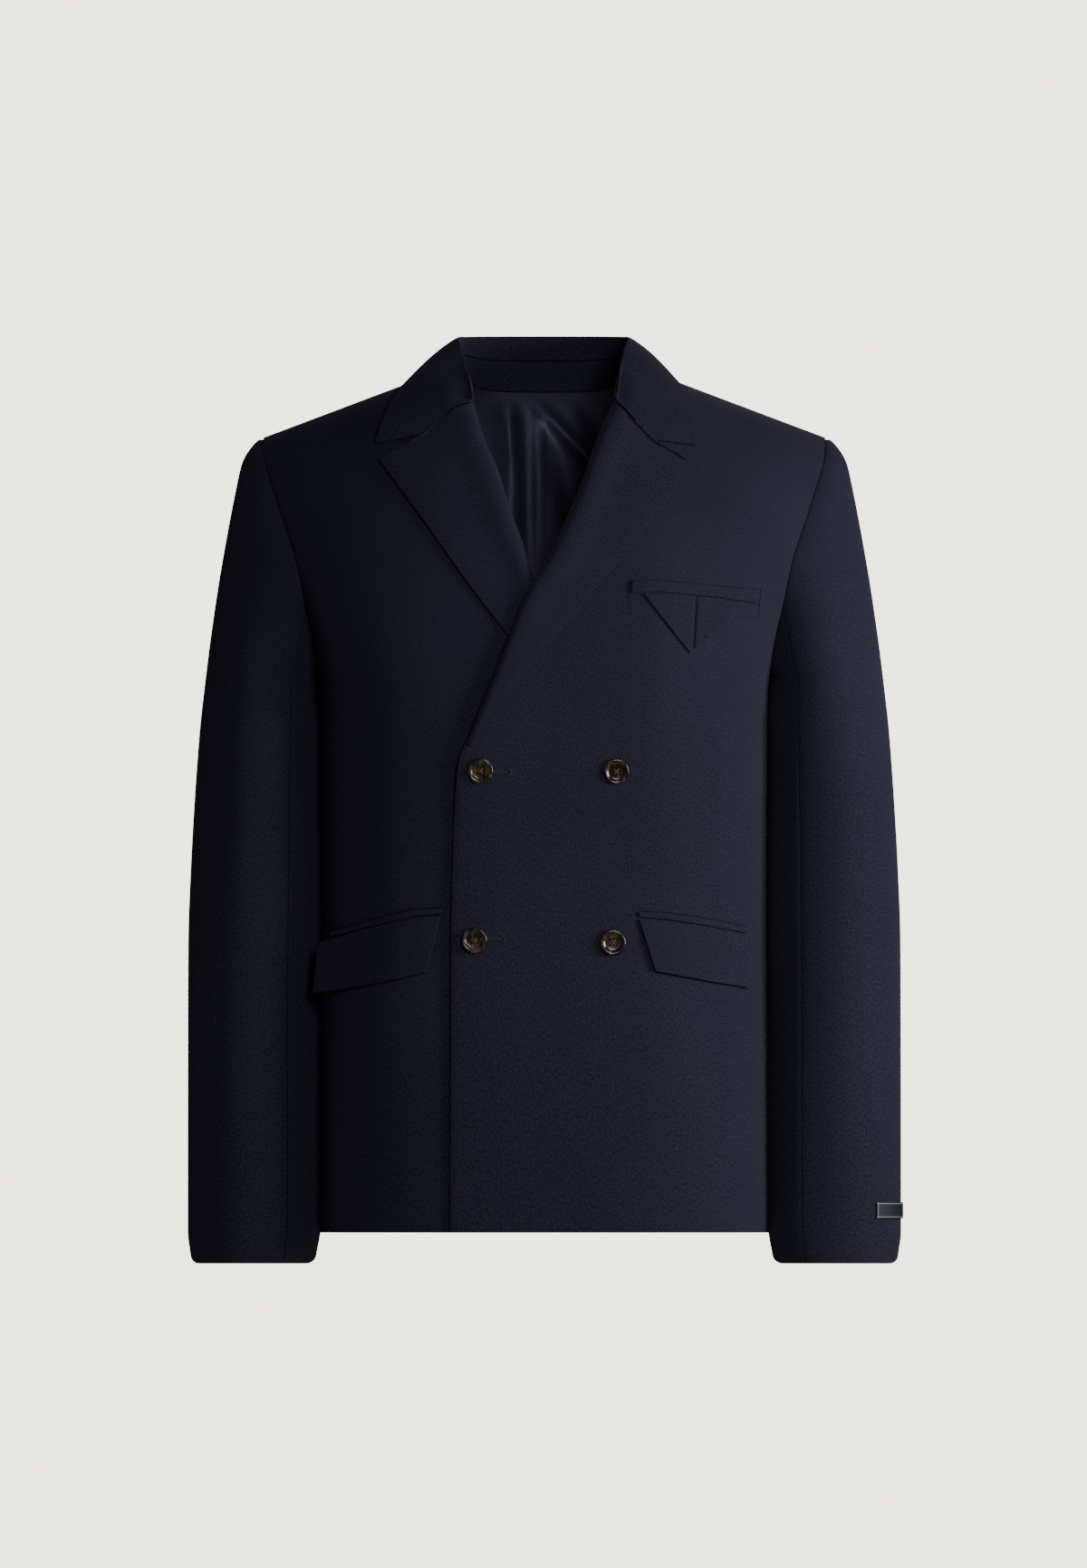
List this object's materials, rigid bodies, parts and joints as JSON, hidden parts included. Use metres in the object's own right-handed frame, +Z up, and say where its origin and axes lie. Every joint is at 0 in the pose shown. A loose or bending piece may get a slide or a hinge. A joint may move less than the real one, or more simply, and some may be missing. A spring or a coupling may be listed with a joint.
{
  "type": "double breasted blazer",
  "caption": "Double breasted wool blazer in its worn shape, open and hollow, with notch lapels, flap pockets, a chest pocket with a pointed flap, satin back lining and horn buttons.",
  "frame": {"origin": "centre of the neck opening at the height of the back neck seam, where the garment sits on its wearer", "axes": "+Z up along the wearer, front of the garment toward -Y, the wearer's left toward +X"},
  "size_m": [0.5643, 0.2608, 0.7315],
  "materials": {
    "wool": "matte navy wool twill",
    "satin": "dark navy satin lining",
    "horn": "glossy dark brown horn with a lighter streak",
    "label": "dark woven label with a pale border"
  },
  "bodies": {
    "root": {"front_left": "wool", "front_right": "wool", "back": "wool", "back_lining": "satin", "sleeve_top_left": "wool", "sleeve_top_right": "wool", "sleeve_under_left": "wool", "sleeve_under_right": "wool", "lapel_left": "wool", "lapel_right": "wool", "collar_fall": "wool", "collar_stand": "wool", "pocket_jet_right": "wool", "pocket_flap_right": "wool", "pocket_jet_left": "wool", "pocket_flap_left": "wool", "chest_welt": "wool", "chest_flap": "wool", "button_left_edge_upper": "horn", "button_left_edge_lower": "horn", "button_chest_upper": "horn", "button_chest_lower": "horn", "sleeve_label": "label"}
  },
  "joints": []
}
